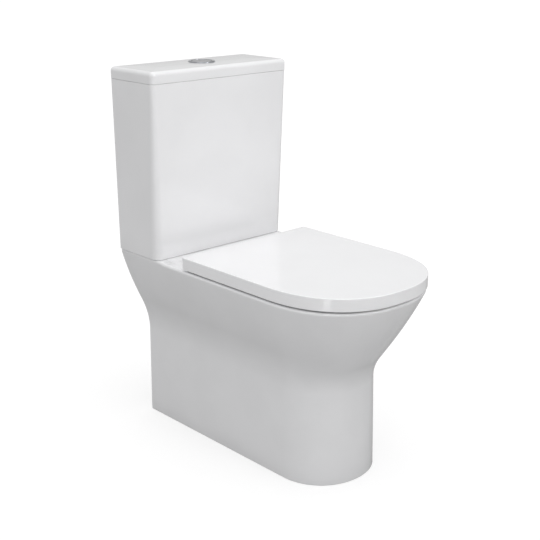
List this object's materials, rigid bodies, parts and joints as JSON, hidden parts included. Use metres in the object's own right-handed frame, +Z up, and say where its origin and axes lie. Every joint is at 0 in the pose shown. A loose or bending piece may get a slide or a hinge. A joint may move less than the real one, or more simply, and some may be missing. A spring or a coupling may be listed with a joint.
{
  "type": "close coupled toilet",
  "caption": "Back-to-wall toilet: flared china pan, tapered cistern with lift-off lid and dual flush, D-shaped wrap-over seat and cover.",
  "frame": {"origin": "on the floor, midway between the wall and the front of the pan, on the centre line", "axes": "+Z up, -Y to the front, +Y to the wall, +X to the right seen from the front"},
  "size_m": [0.37, 0.659, 0.8094],
  "materials": {
    "china": "glossy white glaze",
    "seat_plastic": "glossy white moulding",
    "white_plastic": "plain moulded",
    "blue_plastic": "plain moulded",
    "chrome": "polished",
    "steel": "brushed",
    "spring_steel": "drawn wire",
    "brass": "plain",
    "rubber": "matt"
  },
  "bodies": {
    "root": {"pan": "china", "cistern": "china", "flush_valve_body": "white_plastic", "flush_valve_washer": "rubber", "flush_valve_nut": "white_plastic", "coupling_gasket": "rubber", "float_valve_body": "white_plastic", "float_valve_washer": "rubber", "float_valve_nut": "white_plastic", "cistern_bolts": "brass", "cistern_bolt_seals": "rubber", "cistern_bolt_washers": "steel", "cistern_wing_nuts": "brass", "hinge_posts": "steel", "hinge_pins": "steel", "hinge_bolts": "steel", "hinge_sleeves": "rubber", "hinge_sleeve_nuts": "brass"},
    "lid": {"cistern_lid": "china", "button_ring": "chrome", "button_ring_nut": "white_plastic", "full_flush_spring": "spring_steel", "half_flush_spring": "spring_steel"},
    "full_button": {"full_flush_button": "chrome", "full_flush_rod": "white_plastic"},
    "half_button": {"half_flush_button": "chrome", "half_flush_rod": "white_plastic"},
    "overflow": {"overflow_tube": "blue_plastic", "flush_valve_seal": "rubber"},
    "float": {"float": "blue_plastic"},
    "lever": {"float_lever": "white_plastic"},
    "ring": {"seat_ring": "seat_plastic", "seat_ring_buffers": "rubber"},
    "cover": {"seat_cover": "seat_plastic", "seat_cover_buffers": "rubber"}
  },
  "joints": [
    {"name": "seat_ring_hinge", "type": "hinge", "parent": "root", "child": "ring", "pos_m": [0, 0.104, 0.4215], "axis": [-1, 0, 0], "range_deg": [0, 98]},
    {"name": "seat_cover_hinge", "type": "hinge", "parent": "ring", "child": "cover", "pos_m": [0, 0.104, 0.4215], "axis": [1, 0, 0], "range_deg": [-98, 0]},
    {"name": "cistern_lid_lift", "type": "slide", "parent": "root", "child": "lid", "axis": [0, 0, 1], "range_m": [0, 0.15]},
    {"name": "full_flush_press", "type": "slide", "parent": "lid", "child": "full_button", "axis": [0, 0, 1], "range_m": [-0.006, 0], "stiffness_N_per_m": 500, "springref_m": 0.004, "deforming": ["full_flush_spring"]},
    {"name": "half_flush_press", "type": "slide", "parent": "lid", "child": "half_button", "axis": [0, 0, 1], "range_m": [-0.006, 0], "stiffness_N_per_m": 500, "springref_m": 0.004, "deforming": ["half_flush_spring"]},
    {"name": "overflow_lift", "type": "slide", "parent": "root", "child": "overflow", "axis": [0, 0, 1], "range_m": [0, 0.009]},
    {"name": "float_rise", "type": "slide", "parent": "root", "child": "float", "axis": [0, 0, 1], "range_m": [0, 0.012]},
    {"name": "float_lever_pivot", "type": "hinge", "parent": "root", "child": "lever", "pos_m": [0.078, 0.267, 0.7003], "axis": [-1, 0, 0], "range_deg": [0, 26.5]}
  ],
  "couplings": [
    {"joint": "overflow_lift", "follows": "full_flush_press", "ratio": -1.5},
    {"joint": "float_lever_pivot", "follows": "float_rise", "rad_per_m": 38.333}
  ]
}
